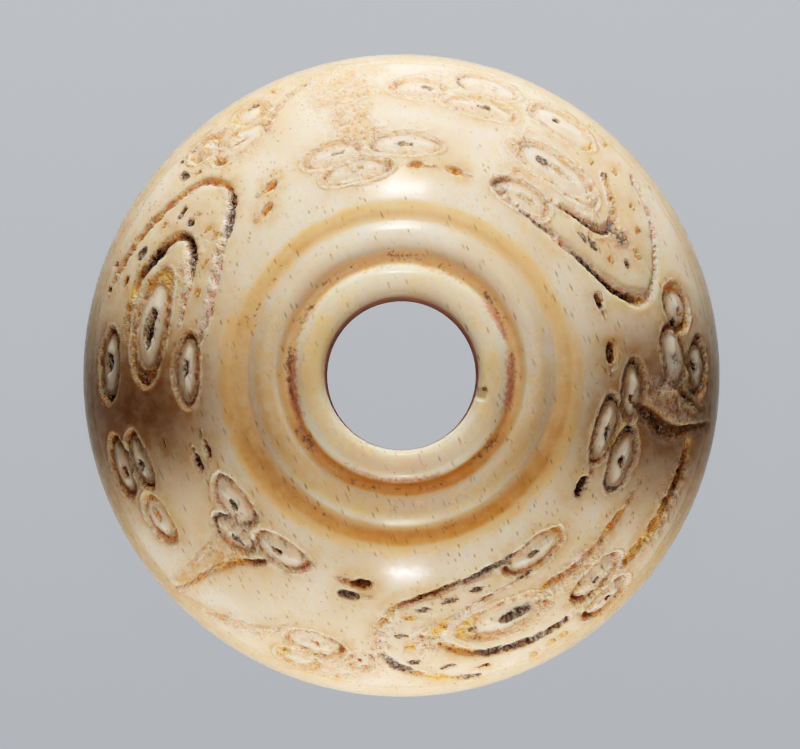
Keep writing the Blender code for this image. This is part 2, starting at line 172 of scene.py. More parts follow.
# azimuth, down, length, width, depth, dirt
DOTS = (
    (289.2, 2.95, 0.82, 0.30, 0.20, "G"),
    (281.8, 3.14, 0.90, 0.32, 0.20, "G"),
    (275.2, 3.40, 0.78, 0.26, 0.20, "G"),
    (272.0, 3.77, 0.70, 0.25, 0.12, "A"),
    (269.8, 4.75, 0.75, 0.28, 0.20, "G"),
    (271.8, 5.38, 0.52, 0.28, 0.15, "A"),
    (272.5, 6.20, 0.75, 0.42, 0.18, "G"),
    (279.1, 6.70, 0.78, 0.40, 0.18, "G"),
    (285.7, 7.20, 0.80, 0.42, 0.20, "B"),
    (301.8, 7.50, 0.45, 0.55, 0.18, "A"),
    (299.5, 7.50, 0.35, 0.45, 0.14, "A"),
    (295.2, 7.80, 0.40, 0.60, 0.18, "A"),
    (285.6, 4.88, 0.50, 0.36, 0.18, "G"),
    (303.7, 4.88, 0.20, 0.26, 0.12, "B"),
    (289.6, 3.56, 0.28, 0.18, 0.18, "B"),
    (158.2, 2.50, 0.45, 0.34, 0.18, "A"),
    (150.4, 2.75, 0.50, 0.20, 0.15, "A"),
    (143.2, 3.10, 0.50, 0.24, 0.15, "A"),
    (143.0, 3.60, 0.50, 0.16, 0.12, "A"),
    (144.3, 4.55, 0.45, 0.42, 0.18, "G"),
    (143.6, 5.25, 0.80, 0.32, 0.18, "G"),
    (147.5, 5.73, 0.45, 0.32, 0.15, "A"),
    (155.0, 6.15, 0.82, 0.55, 0.20, "G"),
    (161.2, 6.45, 0.55, 0.35, 0.20, "B"),
    (158.9, 7.60, 0.30, 0.50, 0.18, "K"),
    (163.6, 7.40, 0.25, 0.40, 0.15, "B"),
    (141.4, 4.45, 0.30, 0.16, 0.12, "P"),
    (137.4, 6.65, 0.65, 0.80, 0.30, "G"),
    (135.0, 6.20, 0.40, 0.40, 0.20, "B"),
    (135.8, 7.55, 0.40, 0.35, 0.20, "G"),
    (133.0, 7.65, 0.25, 0.40, 0.18, "G"),
    (113.8, 8.00, 0.50, 0.70, 0.14, "A"),
    (37.1, 2.85, 0.60, 0.22, 0.15, "G"),
    (34.3, 3.08, 0.80, 0.30, 0.20, "G"),
    (28.3, 3.45, 0.38, 0.30, 0.18, "A"),
    (26.0, 4.13, 0.50, 0.28, 0.22, "K"),
    (27.1, 4.87, 0.62, 0.35, 0.20, "A"),
    (31.3, 5.55, 0.42, 0.38, 0.18, "A"),
    (36.2, 6.07, 0.42, 0.38, 0.18, "A"),
    (43.6, 6.67, 0.42, 0.42, 0.18, "A"),
    (39.4, 7.20, 0.22, 0.45, 0.18, "K"),
    (44.6, 5.97, 0.50, 0.38, 0.16, "G"),
    (56.8, 4.42, 0.85, 0.50, 0.40, "G"),
    (48.6, 6.10, 0.30, 0.40, 0.16, "A"),
    (48.8, 7.65, 0.35, 0.40, 0.16, "A"),
    (51.8, 3.80, 0.18, 0.14, 0.12, "B"),
    (40.0, 5.50, 0.14, 0.20, 0.12, "B"),
    (254.6, 6.45, 0.30, 0.24, 0.16, "B"),
    (250.4, 6.40, 0.35, 0.24, 0.16, "B"),
    (247.5, 7.10, 0.35, 0.45, 0.16, "A"),
    (258.2, 7.70, 0.30, 0.35, 0.16, "A"),
    (264.1, 5.90, 0.25, 0.20, 0.14, "B"),
    (268.4, 6.45, 0.55, 0.40, 0.22, "G"),
    (10.8, 5.72, 0.50, 0.32, 0.30, "K"),
    (7.0, 7.00, 0.40, 0.55, 0.26, "K"),
    (355.0, 6.35, 0.45, 0.36, 0.28, "K"),
    (358.6, 7.60, 0.50, 0.45, 0.16, "C"),
    (196.4, 3.93, 0.45, 0.12, 0.08, "B"),
)

# Scraped and stained patches: azimuth, down, length, width, tilt, then how far it is rough,
# rusty and grainy.
PATCHES = (
    (152.0, 4.30, 5.60, 4.80, 0, 0.0, 0.42, 0.0),
    (37.0, 4.60, 6.60, 5.00, 0, 0.0, 0.36, 0.0),
    (284.0, 5.00, 8.60, 5.20, 0, 0.0, 0.32, 0.0),
    (226.0, 3.20, 4.60, 3.40, 0, 0.0, 0.35, 0.0),
    (103.0, 7.60, 4.60, 1.40, 0, 0.30, 0.80, 0.0),
    (102.0, 6.30, 3.00, 2.00, 0, 0.45, 0.85, 0.1),
    (101.0, 4.90, 1.90, 2.20, 0, 0.50, 0.90, 0.1),
    (99.5, 3.80, 2.40, 1.40, 0, 0.50, 0.90, 0.2),
    (98.0, 2.70, 4.00, 1.90, 0, 0.20, 0.55, 0.1),
    (80.0, 6.40, 4.20, 2.40, 0, 0.35, 0.50, 0.2),
    (224.5, 5.60, 1.20, 3.80, -12, 0.15, 1.30, 0.0),
    (227.5, 3.80, 1.90, 1.60, 0, 0.20, 1.20, 0.1),
    (226.5, 2.80, 3.20, 2.00, 0, 0.30, 0.35, 0.3),
    (246.0, 5.60, 1.40, 0.70, 30, 0.2, 0.70, 0.0),
    (240.5, 6.60, 1.90, 0.80, 25, 0.2, 0.85, 0.0),
    (232.5, 7.40, 2.60, 0.90, 15, 0.2, 0.90, 0.0),
    (223.0, 8.00, 2.60, 0.90, 5, 0.2, 0.75, 0.0),
    (33.5, 4.45, 1.20, 0.70, 0, 1.0, 0.10, 0.7),
    (38.5, 3.60, 1.30, 0.60, 20, 1.0, 0.10, 0.5),
    (58.0, 3.30, 2.20, 0.60, 0, 0.4, 0.75, 0.0),
    (62.5, 5.35, 1.20, 0.50, 20, 0.4, 0.75, 0.0),
    (62.0, 2.30, 0.90, 0.90, 0, 0.8, 0.20, 0.6),
    (128.0, 6.70, 2.20, 2.00, 0, 0.5, 0.45, 0.2),
    (257.0, 6.90, 3.60, 1.80, 0, 0.5, 0.50, 0.0),
    (275.0, 5.00, 1.10, 1.70, 0, 0.8, 0.50, 0.0),
    (266.0, 5.40, 1.00, 2.20, 0, 0.7, 0.40, 0.0),
    (312.0, 6.70, 3.40, 2.30, 0, 0.4, 0.50, 0.3),
    (312.0, 4.70, 3.60, 0.90, 0, 0.6, 0.60, 0.1),
    (334.0, 6.80, 4.60, 1.10, 0, 0.7, 0.60, 0.1),
    (152.0, 3.50, 1.50, 0.50, 0, 0.7, 0.10, 0.4),
    (352.5, 5.40, 2.00, 3.20, 0, 0.8, 0.45, 0.2),
)

# A letter of dirt for each point, the side that slopes gently (1 right of the way the points
# run, -1 left, 0 neither), then azimuth, down, width and depth at each point.
GROOVES = (
    (
        "GGBBAPPGAG", 1, (301, 2.12, 0.30, 0.25), (290, 2.25, 0.35, 0.30),
        (281, 2.45, 0.35, 0.30), (272, 2.85, 0.35, 0.28), (267, 3.45, 0.45, 0.28),
        (265, 4.40, 0.50, 0.22), (265.4, 5.50, 0.50, 0.20), (269, 6.55, 0.50, 0.32),
        (276, 7.35, 0.45, 0.30), (284, 8.00, 0.40, 0.25),
    ),
    (
        "PCCCGKAOOOO", 1, (171.5, 1.80, 0.30, 0.25), (163, 1.62, 0.40, 0.22),
        (154, 1.88, 0.50, 0.22), (145, 2.38, 0.55, 0.22), (138, 2.95, 0.50, 0.30),
        (133.6, 3.75, 0.45, 0.38), (132.8, 4.60, 0.40, 0.38), (135.6, 5.52, 0.38, 0.34),
        (142, 6.10, 0.35, 0.28), (150, 6.72, 0.38, 0.26), (161, 7.35, 0.45, 0.22),
    ),
    (
        "PGPGBKA", 1, (60, 1.72, 0.30, 0.25), (50, 1.62, 0.30, 0.25),
        (40, 1.82, 0.35, 0.28), (31, 2.20, 0.38, 0.36), (24, 2.65, 0.45, 0.45),
        (19, 3.30, 0.50, 0.50), (17.2, 4.05, 0.55, 0.48),
    ),
    (
        "AACPCC", -1, (18.0, 3.70, 0.40, 0.40), (17.2, 4.15, 0.35, 0.40),
        (19.2, 4.85, 0.30, 0.34), (25, 5.72, 0.32, 0.30), (33, 6.65, 0.32, 0.26),
        (41, 7.35, 0.30, 0.20),
    ),
    (
        "GPPAPAGGG", 1, (303, 3.30, 0.15, 0.10), (293, 3.42, 0.18, 0.12),
        (285, 3.75, 0.30, 0.15), (278.6, 4.35, 0.60, 0.22), (276.9, 5.05, 0.70, 0.25),
        (281.5, 5.95, 0.45, 0.38), (288, 6.55, 0.45, 0.38), (296, 6.80, 0.42, 0.35),
        (304, 6.78, 0.40, 0.30),
    ),
    (
        "PPKKAKAP", 1, (167, 2.85, 0.20, 0.10), (157, 3.02, 0.35, 0.15),
        (150.5, 3.45, 0.45, 0.30), (147.2, 4.25, 0.42, 0.38), (149.2, 4.95, 0.45, 0.35),
        (155.5, 5.45, 0.42, 0.35), (161.5, 5.85, 0.38, 0.25), (172, 5.80, 0.30, 0.12),
    ),
    (
        "PKKKPP", 1, (50, 2.85, 0.25, 0.12), (42, 3.27, 0.30, 0.30), (36.2, 3.62, 0.35, 0.38),
        (34.5, 4.25, 0.38, 0.38), (37.6, 5.10, 0.40, 0.18), (44.5, 5.90, 0.30, 0.12),
    ),
    (
        "CAPA", 0, (336, 4.70, 0.15, 0.05), (325, 4.52, 0.40, 0.16), (314, 4.58, 0.50, 0.22),
        (303, 4.42, 0.45, 0.20),
    ),
    (
        "ABAA", 0, (346.5, 6.90, 0.80, 0.30), (339, 6.85, 0.80, 0.26), (330, 6.68, 0.80, 0.24),
        (320.5, 6.50, 0.70, 0.22),
    ),
    (
        "BBBBB", -1, (352.5, 3.60, 0.50, 0.40), (350.2, 4.60, 0.85, 0.50),
        (348.6, 5.60, 0.85, 0.48), (349.4, 6.60, 0.60, 0.36), (351, 8.00, 0.35, 0.22),
    ),
    (
        "CCCC", -1, (355.6, 4.00, 0.30, 0.06), (353.4, 4.90, 0.40, 0.06),
        (351.8, 5.80, 0.45, 0.06), (352.2, 7.40, 0.35, 0.05),
    ),
    (
        "PCCBP", 1, (358.2, 3.95, 0.40, 0.12), (357.2, 4.70, 0.60, 0.16),
        (357.6, 5.50, 0.75, 0.35), (355.2, 6.40, 0.45, 0.28), (353.2, 7.30, 0.35, 0.20),
    ),
    (
        "KAAOOC", 0, (233.6, 3.20, 0.40, 0.30), (229.6, 3.85, 0.42, 0.22),
        (227.4, 4.50, 0.34, 0.20), (225.6, 5.80, 0.32, 0.18), (225, 6.90, 0.32, 0.15),
        (223.8, 8.00, 0.35, 0.10),
    ),
    (
        "CPC", 0, (219.8, 3.80, 0.40, 0.03), (222.2, 4.80, 0.40, 0.06),
        (221.9, 6.60, 0.40, 0.04),
    ),
    (
        "CCCC", 0, (246, 5.50, 0.60, 0.06), (241.5, 6.45, 0.90, 0.08), (233, 7.35, 0.90, 0.07),
        (225, 8.00, 0.60, 0.05),
    ),
    (
        "PPC", 0, (118.5, 5.60, 0.40, 0.15), (114.5, 6.70, 0.50, 0.14), (106, 7.70, 0.40, 0.10),
    ),
)

# The fine line turned near the rim: how far down the dome, then its width and depth.
RIM_LINE = (8.08, 0.16, 0.06)
# Share of its depth that the carving keeps, every 30 degrees of azimuth from 0.
WEAR = (1.2, 0.95, 0.50, 0.36, 0.50, 1.0, 1.2, 0.90, 0.60, 0.60, 0.75, 1.1)

# Shares of its dirt that the carving keeps in the same way, in its cuts and along their edges.
DIRT_KEPT = (1.0, 0.95, 0.70, 0.52, 0.70, 0.95, 1.05, 1.0, 0.95, 0.90, 0.95, 1.0)
EDGE_KEPT = (1.0, 0.80, 0.45, 0.35, 0.50, 0.90, 1.0, 0.90, 0.80, 0.80, 0.90, 1.0)

BUD_DEPTH = 0.28
BUD_WALL = 0.18
OUTER_WALL = 0.24
MARGIN = 0.5
MARGIN_REACH = 0.14
OUTLINE_HIGHLIGHT = 0.22
OUTLINE_HIGHLIGHT_REACH = 0.10
COVER_DEPTH = 0.14
BUD_END_GAP = 0.40
BUD_SIDE_GAP = 0.24
RING_SPREAD = 0.10
BUD_PILLOW = 0.15
BUD_LEAN = 0.12
PIT_DEPTH = 0.26
HEART_DEPTH = 0.15
HEART_END_GAP = 0.85
HEART_SIDE_GAP = 0.30
HEART_PIT_DEPTH = 0.34
TEAR_DEPTH = 0.34
CURVE_STEPS = 8
GROOVE_SHARE = 0.70
DOT_SHARE = 0.60
GENTLE_SLOPE = 2.2
DIRT_SPREAD = 1.45
STEEP_WALL = 0.75
HAND_WANDER = 0.055
HAND_WAVE = 0.55
CHATTER = 0.085
HALO_REACH = 0.80
PATCH_BLUR = 0.8
PATCH_DEPTH = 0.03
CHATTER_WAVE = 0.26
LIT_CROWN_BLUR = 0.25
EDGE_SPECKS = 0.35
PATCH_RAG = 0.30
PATCH_WAVE = 0.28


def smooth(x):
    x = np.clip(x, 0.0, 1.0)
    return x * x * (3.0 - 2.0 * x)


def around(azimuth, strengths):
    """A strength given every 30 degrees, at each azimuth."""
    return np.interp(azimuth, np.arange(13) * 30.0, (*strengths, strengths[0]))


def turned_from(azimuth, centre):
    """How many degrees each azimuth lies from the centre, either way round."""
    return np.abs((azimuth - centre + 180.0) % 360.0 - 180.0)


def grit(points, wave, seed):
    """Smooth noise from -1 to 1 at each point, with features about one wave across."""
    cell = points / wave
    base = np.floor(cell).astype(np.int64)
    share = smooth(cell - base)
    total = np.zeros(len(points))
    for corner in range(8):
        step = np.array([corner & 1, corner >> 1 & 1, corner >> 2 & 1])
        at = base + step
        mixed = at[:, 0] * 73856093 ^ at[:, 1] * 19349663 ^ at[:, 2] * 83492791 ^ seed * 2654435761
        mixed = (mixed ^ mixed >> 13) * 1274126177 & 0xFFFFFFFF
        value = (mixed ^ mixed >> 16) % 65536 / 32768.0 - 1.0
        total += value * np.prod(np.where(step, share, 1.0 - share), axis=1)
    return total


def dome_table():
    """Distance down the dome from its top edge, with the radius and height there."""
    turn = np.linspace(0.0, math.pi / 2, 2001)
    radius = OUTER_RADIUS * np.sin(turn)
    height = RIM_HEIGHT + DOME_RISE * np.cos(turn)
    run = np.concatenate([[0.0], np.cumsum(np.hypot(np.diff(radius), np.diff(height)))])
    down = run - np.interp(DOME_TOP_RADIUS, radius, run)
    keep = down >= -0.01
    return down[keep], radius[keep], height[keep]


DOWN, DOWN_RADIUS, DOWN_HEIGHT = dome_table()


def offsets(azimuth, down, radius, centre, centre_down):
    """How far each place lies clockwise of a centre, and how far below it."""
    turn = (centre - azimuth + 180.0) % 360.0 - 180.0
    return np.radians(turn) * radius, down - centre_down


def ellipse(across, below, length, width, tilt):
    """About how far outside an ellipse each place lies, and below zero inside it."""
    angle = math.radians(tilt)
    x = across * math.cos(angle) + below * math.sin(angle)
    y = below * math.cos(angle) - across * math.sin(angle)
    a, b = length / 2, width / 2
    reach = np.hypot(x / a, y / b)
    slope = np.hypot(x / a**2, y / b**2) + 1e-9
    return (reach - 1.0) * reach / slope


def through(points):
    """A smooth curve through the points."""
    keys = np.array(points, float)
    keys = np.vstack([2 * keys[0] - keys[1], keys, 2 * keys[-1] - keys[-2]])
    found = []
    for a, b, c, d in zip(keys, keys[1:], keys[2:], keys[3:]):
        for t in np.arange(CURVE_STEPS) / CURVE_STEPS:
            found.append(
                0.5 * (2 * b + (c - a) * t + (2 * a - 5 * b + 4 * c - d) * t**2
                       + (3 * b - a - 3 * c + d) * t**3)
            )
    found.append(keys[-2])
    return np.array(found)


class Carver:
    """Gathers the cuts at each place, what dirt lies in them, and the painted highlights on their
    edges and bud tops.
    """

    def __init__(self, azimuth, down, radius, height):
        angle = np.radians(azimuth)
        self.points = np.column_stack([radius * np.cos(angle), radius * np.sin(angle), height])
        wander, shift = (
            grit(self.points, HAND_WAVE, seed) + 0.5 * grit(self.points, HAND_WAVE / 2.3, seed + 1)
            + 0.35 * grit(self.points, HAND_WAVE / 4.0, seed + 2) for seed in (11, 21)
        )
        self.azimuth = azimuth + np.degrees(HAND_WANDER * wander / radius)
        self.down = down + HAND_WANDER * shift
        self.radius = radius
        self.dirt = np.zeros((len(down), 3))
        self.depth, self.cover, self.halo, self.bevel, self.edge, self.lit_crown = (
            np.zeros(len(down)) for _ in range(6)
        )

    def near(self, centre, centre_down, reach):
        x, y = offsets(self.azimuth, self.down, self.radius, centre, centre_down)
        return np.nonzero((np.abs(x) < reach) & (np.abs(y) < reach))[0]

    def offsets(self, where, centre, centre_down):
        return offsets(self.azimuth[where], self.down[where], self.radius[where],
                       centre, centre_down)

    def add(self, where, cut, dirt, amount):
        """Takes the deeper cut, and the dirtier of what is there and what this cut holds."""
        self.depth[where] = np.maximum(self.depth[where], cut)
        self.cover[where] = np.maximum(self.cover[where], np.clip(amount, 0.0, 1.0))
        self.dirt[where] = np.maximum(self.dirt[where], amount[:, None] * dirt)
        self.line(where, amount, np.atleast_2d(dirt))

    def line(self, where, amount, dirt):
        """Dirt that caught along the edge of a cut; a clean cut has none."""
        strength = EDGE_SPECKS * smooth(2.5 * dirt[:, 0]) + (1.0 - EDGE_SPECKS) * dirt[:, 1]
        edge = 4.0 * np.clip(amount * (1.0 - amount), 0.0, 0.25) * strength
        self.edge[where] = np.maximum(self.edge[where], edge)

    def tint(self, where, outside, rust):
        """Rust that has soaked a little way into the bone round a cut."""
        near = (0.3 + 0.7 * rust) * smooth(1.0 - np.maximum(outside, 0.0) / HALO_REACH)
        self.halo[where] = np.maximum(self.halo[where], near)

    def ringed(self, field, depth, end_gap, side_gap, pit_depth):
        centre, centre_down, length, width, tilt, pit, pit_down, pit_length, pit_width = field[:9]
        far, near, middle = (np.array(DIRT[letter]) for letter in field[9])
        lean = BUD_LEAN * (far[1] - near[1])
        where = self.near(centre, centre_down, length)
        x, y = self.offsets(where, centre, centre_down)
        outside = ellipse(x, y, length + 2 * RING_SPREAD, width + 2 * RING_SPREAD, tilt)
        inside = ellipse(x - lean, y, length - 2 * end_gap, width - 2 * side_gap, tilt)
        ring = smooth(-outside / OUTER_WALL) * smooth(inside / BUD_WALL)
        pillow = BUD_PILLOW * smooth(-outside / OUTER_WALL) * smooth(1.0 + inside / (width / 2))
        share = smooth(0.5 + x / length)[:, None]
        ends = 0.60 + 0.40 * smooth(np.abs(x) / (length / 2) * 1.3 - 0.25)
        self.add(where, depth * ring, far * (1 - share) + near * share, ring * ends)
        self.tint(where, outside, (far * (1 - share) + near * share)[:, 0])
        self.depth[where] = np.maximum(self.depth[where], pillow)
        # Painted highlight: each bud's raised middle made lighter, as if it caught the light.
        self.lit_crown[where] = np.maximum(self.lit_crown[where], smooth(0.2 - inside / LIT_CROWN_BLUR))
        margin = MARGIN * smooth(1.0 - np.abs(outside) / MARGIN_REACH)
        self.cover[where] = np.maximum(self.cover[where], margin)
        # Painted highlight: a whitened line round each bud's outline.
        pale = OUTLINE_HIGHLIGHT * smooth(1.0 - np.abs(outside) / OUTLINE_HIGHLIGHT_REACH)
        self.bevel[where] = np.maximum(self.bevel[where], pale)
        x, y = self.offsets(where, pit, pit_down)
        hollow = smooth(-ellipse(x, y, pit_length, pit_width, tilt) / (pit_width / 2.5))
        self.add(where, pit_depth * hollow, middle, smooth(2.0 * hollow))

    def tear(self, field):
        centre, centre_down, length, width, tilt, side, letter = field
        where = self.near(centre, centre_down, 2 * length)
        x, y = self.offsets(where, centre, centre_down)
        pit = smooth(-ellipse(x, y, length, width, tilt) / (width / 2.6))
        tail = smooth(-ellipse(x - side * length * 0.55, y, length, width * 0.8, tilt)
                      / (width / 2))
        self.add(where, 0.3 * TEAR_DEPTH * tail, np.array(DIRT["C"]), tail)
        self.add(where, TEAR_DEPTH * pit, np.array(DIRT[letter]), smooth(2.0 * pit))
        self.tint(where, ellipse(x, y, length, width, tilt), DIRT[letter][0])

    def dot(self, field):
        centre, centre_down, length, width, depth, letter = field
        where = self.near(centre, centre_down, length + width)
        x, y = self.offsets(where, centre, centre_down)
        pit = smooth(-ellipse(x, y, length, width, 0) / (min(width, length) / 2.5))
        self.add(where, DOT_SHARE * depth * pit, np.array(DIRT[letter]), smooth(2.0 * pit))
        self.tint(where, ellipse(x, y, length, width, 0), 0.7 * DIRT[letter][0])

    def patch(self, field):
        centre, centre_down, length, width, tilt, rough, rusty, grainy = field
        where = self.near(centre, centre_down, 0.75 * max(length, width))
        x, y = self.offsets(where, centre, centre_down)
        rag = PATCH_RAG * grit(self.points[where], PATCH_WAVE, 3)
        amount = smooth(0.5 - ellipse(x, y, length, width, tilt) / PATCH_BLUR + rag)
        self.depth[where] = np.maximum(self.depth[where], PATCH_DEPTH * rough * amount)
        self.cover[where] = np.maximum(self.cover[where], rough * amount)
        self.halo[where] = np.maximum(self.halo[where], rusty * amount)
        self.dirt[where, 2] = np.maximum(self.dirt[where, 2], grainy * amount)

    def groove(self, field):
        letters, gentle, points = field[0], field[1], field[2:]
        keys = np.array([(*point, *DIRT[letter]) for point, letter in zip(points, letters)])
        curve = through(keys)
        for start, end in zip(curve, curve[1:]):
            where = self.near(start[0], start[1], 1.4 + start[2])
            middle = np.interp((start[1] + end[1]) / 2, DOWN, DOWN_RADIUS)
            x, y = offsets(self.azimuth[where], self.down[where], middle, start[0], start[1])
            along = np.array([math.radians(start[0] - end[0]) * middle, end[1] - start[1]])
            share = np.clip((x * along[0] + y * along[1]) / (along @ along), 0.0, 1.0)
            away = np.hypot(x - share * along[0], y - share * along[1])
            side = np.sign(along[0] * y - along[1] * x) * gentle
            here = start + share[:, None] * (end - start)
            half = here[:, 2] / 2
            reach = half * np.where(side > 0, GENTLE_SLOPE, np.where(side < 0, STEEP_WALL, 1.0))
            bite = smooth(1.25 * (1.0 - away / reach))
            line = smooth(1.6 * (1.0 - away / (half * np.where(side > 0, DIRT_SPREAD, 0.9))))
            dirt = np.clip(here[:, 4:7], 0.0, 1.0)
            cut = GROOVE_SHARE * here[:, 3] * bite
            self.depth[where] = np.maximum(self.depth[where], cut)
            rough = bite * smooth(here[:, 3] / COVER_DEPTH)
            self.cover[where] = np.maximum(self.cover[where], rough)
            self.dirt[where] = np.maximum(self.dirt[where], line[:, None] * dirt)
            # Painted highlight: the groove's gentle open side whitened, as scraped bone in the
            # light.
            open_side = np.where(side > 0, bite * (1.0 - line), 0.0)
            self.bevel[where] = np.maximum(self.bevel[where], open_side)
            self.tint(where, away - half, dirt[:, 0])
            self.line(where, line, dirt)


def carve(azimuth, down, radius, height):
    carver = Carver(azimuth, down, radius, height)
    for field in PATCHES:
        carver.patch(field)
    for field in BUDS:
        carver.ringed(field, BUD_DEPTH, BUD_END_GAP, BUD_SIDE_GAP, PIT_DEPTH)
    for field in HEARTS:
        carver.ringed(field, HEART_DEPTH, HEART_END_GAP, HEART_SIDE_GAP, HEART_PIT_DEPTH)
    for field in TEARS:
        carver.tear(field)
    for field in DOTS:
        carver.dot(field)
    for field in GROOVES:
        carver.groove(field)
    carver.depth *= around(azimuth, WEAR)
    carver.dirt *= around(azimuth, DIRT_KEPT)[:, None]
    carver.edge *= around(azimuth, EDGE_KEPT)
    roll = EDGE_DROP * smooth(1.0 - down / EDGE_ROLL)
    carver.depth = np.maximum(carver.depth, roll)
    line, width, depth = RIM_LINE
    cut = depth * smooth(1.0 - np.abs(carver.down - line) / (width / 2))
    carver.depth = np.maximum(carver.depth, cut)
    chatter = grit(carver.points, CHATTER_WAVE, 5) + 0.6 * grit(carver.points, CHATTER_WAVE / 2, 6)
    carver.depth += CHATTER * chatter * smooth(carver.cover * 1.5)
    carver.depth *= 1.0 + 0.15 * grit(carver.points, HAND_WAVE, 7)
    carver.depth = np.maximum(carver.depth, 0.0)
    return (carver.depth, carver.cover, carver.dirt, carver.halo, carver.bevel, carver.edge,
            carver.lit_crown)


# ---- the turned grid
# Vertices round on the carved band and on the rest, with half of those on the flat underside,
# and how far down the dome the band lies.
FINE = 800
COARSE = FINE // 2
CARVED = (1.25, 8.35)
RING_STEP = 0.12
# How many rings of vertices each part of the profile has.
BORE_ROWS = 8
UPPER_ROWS = 12
CARVED_ROWS = 81
LOWER_ROWS = 11
ROLL_ROWS = 10
UNDER_ROWS = 10


def spread(points, step):
    """The polyline resampled at about the given step."""
    points = np.array(points, float)
    run = np.concatenate([[0.0], np.cumsum(np.hypot(*np.diff(points, axis=0).T))])
    count = max(2, int(round(run[-1] / step)) + 1)
    at = np.linspace(0.0, run[-1], count)
    return np.column_stack([np.interp(at, run, points[:, k]) for k in (0, 1)])


def rings():
    """Every ring of the surface: radius, height, how far down the dome (or -1), vertices round."""
    found = []

    def lay(points, count, downs=None):
        for index, (radius, height) in enumerate(points):
            found.append((radius, height, -1.0 if downs is None else downs[index], count))

    def lay_dome(downs, count):
        lay([(np.interp(d, DOWN, DOWN_RADIUS), np.interp(d, DOWN, DOWN_HEIGHT)) for d in downs],
            count, downs)

    lay([(BORE_RADIUS, z) for z in np.linspace(BORE_CHAMFER, BORE_TOP, BORE_ROWS)], COARSE)
    lay(spread(through(RINGS[::-1]), RING_STEP), COARSE)
    lay_dome(np.linspace(0.0, CARVED[0], UPPER_ROWS), COARSE)
    lay_dome(np.linspace(CARVED[0], CARVED[1], CARVED_ROWS)[1:], FINE)
    lay_dome(np.linspace(CARVED[1], DOWN[-1], LOWER_ROWS)[1:], COARSE)
    inward = OUTER_RADIUS - UNDER_RADIUS
    turns = np.radians(np.linspace(ROLL_START, 90.0, ROLL_ROWS))
    lay([(UNDER_RADIUS + inward * math.cos(t), RIM_HEIGHT * (1.0 - math.sin(t)))
         for t in turns], COARSE)
    under = np.linspace(UNDER_RADIUS, BORE_RADIUS + BORE_CHAMFER, UNDER_ROWS)[1:]
    lay([(r, 0.0) for r in under], COARSE // 2)
    return found


def grid_faces(rows):
    """Quads between rings, and three triangles where one ring has twice the vertices."""
    starts = np.concatenate([[0], np.cumsum([row[3] for row in rows])])
    faces = []
    for index in range(len(rows)):
        following = (index + 1) % len(rows)
        a, b = starts[index], starts[following]
        n, m = rows[index][3], rows[following][3]
        if n == m:
            i = np.arange(n)
            j = (i + 1) % n
            faces += list(zip(a + i, b + i, b + j, a + j))
        elif m == 2 * n:
            for i in range(n):
                j = (i + 1) % n
                low, mid, high = b + 2 * i, b + 2 * i + 1, b + (2 * i + 2) % m
                faces += [(a + i, low, mid), (a + i, mid, a + j), (a + j, mid, high)]
        else:
            for i in range(m):
                j = (i + 1) % m
                low, mid, high = a + 2 * i, a + 2 * i + 1, a + (2 * i + 2) % n
                faces += [(b + i, mid, low), (b + i, b + j, mid), (b + j, high, mid)]
    return faces


# Strengths round the whorl, every 30 degrees of azimuth from 0.
GROOVE_STAIN = (0.62, 0.58, 0.42, 0.58, 0.42, 0.50, 0.58, 0.84, 0.90, 0.95, 1.00, 0.78)
EDGE_STAIN = (0.65, 0.58, 0.62, 0.52, 0.70, 0.70, 0.62, 0.86, 0.92, 0.98, 1.00, 0.84)
SLOPE_STAIN = (0.50, 0.10, 0.02, 0.00, 0.02, 0.22, 0.72, 1.00, 0.72, 0.42, 0.52, 0.68)
COLLAR_STAIN = (0.40, 0.26, 0.12, 0.06, 0.12, 0.50, 0.44, 0.28, 0.22, 0.00, 0.02, 0.22)
PORES = (0.9, 0.5, 0.28, 0.28, 0.7, 1.0, 0.7, 0.8, 0.9, 1.0, 1.1, 1.1)

# Stained rings: strengths round, then the radius where it starts, is full, is still full and
# ends, then its greatest strength.
STAIN_RINGS = (
    (GROOVE_STAIN, 4.60, 4.78, 5.15, 5.50, 1.0),
    (EDGE_STAIN, 6.35, 6.95, 7.30, 7.70, 0.95),
    (SLOPE_STAIN, 7.00, 7.40, 7.60, 8.20, 0.8),
    (SLOPE_STAIN, 5.30, 5.60, 6.20, 6.60, 0.5),
    (COLLAR_STAIN, 3.35, 3.55, 4.10, 4.50, 1.0),
)
# Painted shade, darker brown on the two sides the lamps miss: azimuth, half the span in degrees;
# then its strength by the way down the dome.
SIDE_SHADE = ((187, 27), (352, 30))
SIDE_SHADE_DOWN = ((-1.0, 0.0, 1.5, 3.5, 6.5, 8.5, 10.5), (0.10, 0.10, 0.40, 0.95, 1.0, 0.7, 0.5))
# Rosy spots in the inner groove: azimuth, half the span, radius, half the width, strength.
BLUSH_SPOTS = (
    (186, 30, 4.72, 0.42, 0.95),
    (214, 14, 4.98, 0.38, 0.80),
    (356, 26, 4.72, 0.42, 0.85),
    (66, 26, 4.68, 0.34, 0.55),
    (104, 20, 4.66, 0.30, 0.45),
    (148, 20, 4.72, 0.34, 0.55),
    (268, 40, 4.62, 0.24, 0.75),
    (30, 18, 4.72, 0.38, 0.85),
)
